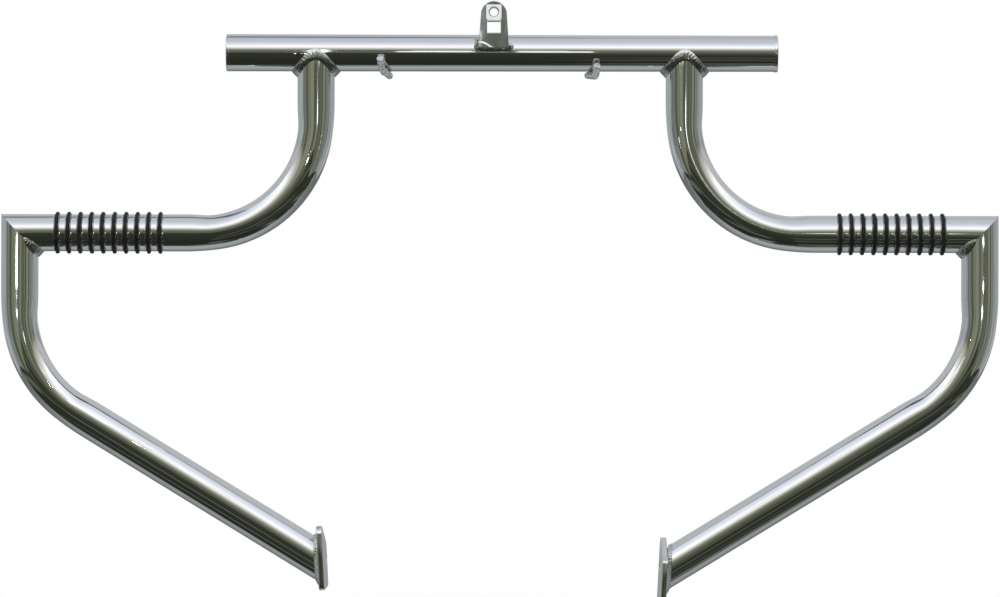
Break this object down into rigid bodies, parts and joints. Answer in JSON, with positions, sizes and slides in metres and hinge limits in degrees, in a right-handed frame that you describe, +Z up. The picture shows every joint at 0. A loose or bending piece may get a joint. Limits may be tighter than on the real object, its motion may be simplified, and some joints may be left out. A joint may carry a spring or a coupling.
{
  "type": "motorcycle crash bars",
  "caption": "Welded chrome tube crash bars: a crossbar with a bolt tab, legs that turn out into ringed foot grips, and mitred outer legs that bend in to bolted plates.",
  "frame": {"origin": "middle of the bolt hole in the tab on the crossbar", "axes": "+X to the right of the front view, +Y to the rear, +Z up"},
  "size_m": [0.8512, 0.0726, 0.513],
  "materials": {
    "tube_chrome": "bright chrome plate on round tube",
    "plate_chrome": "chrome plate on cut plate",
    "tab_chrome": "chrome plate on a stamped tab",
    "hook_chrome": "chrome plate on bent rod",
    "weld_chrome": "chrome plate over uneven weld metal",
    "clip_zinc": "bright zinc on spring steel",
    "ring_rubber": "black moulded rubber with a soft sheen"
  },
  "bodies": {
    "root": {"crossbar": "tube_chrome", "end_disc_left": "tube_chrome", "upper_leg_left": "tube_chrome", "lower_leg_left": "tube_chrome", "mount_plate_left": "plate_chrome", "hook_left": "hook_chrome", "weld_tee_left": "weld_chrome", "weld_mitre_left": "weld_chrome", "weld_plate_left": "weld_chrome", "weld_hook_left": "weld_chrome", "grip_ring_left_01": "ring_rubber", "grip_ring_left_02": "ring_rubber", "grip_ring_left_03": "ring_rubber", "grip_ring_left_04": "ring_rubber", "grip_ring_left_05": "ring_rubber", "grip_ring_left_06": "ring_rubber", "grip_ring_left_07": "ring_rubber", "grip_ring_left_08": "ring_rubber", "grip_ring_left_09": "ring_rubber", "grip_ring_left_10": "ring_rubber", "end_disc_right": "tube_chrome", "upper_leg_right": "tube_chrome", "lower_leg_right": "tube_chrome", "mount_plate_right": "plate_chrome", "hook_right": "hook_chrome", "weld_tee_right": "weld_chrome", "weld_mitre_right": "weld_chrome", "weld_plate_right": "weld_chrome", "weld_hook_right": "weld_chrome", "grip_ring_right_01": "ring_rubber", "grip_ring_right_02": "ring_rubber", "grip_ring_right_03": "ring_rubber", "grip_ring_right_04": "ring_rubber", "grip_ring_right_05": "ring_rubber", "grip_ring_right_06": "ring_rubber", "grip_ring_right_07": "ring_rubber", "grip_ring_right_08": "ring_rubber", "grip_ring_right_09": "ring_rubber", "grip_ring_right_10": "ring_rubber", "centre_tab": "tab_chrome", "clip_nut": "clip_zinc", "weld_tab": "weld_chrome"}
  },
  "joints": []
}
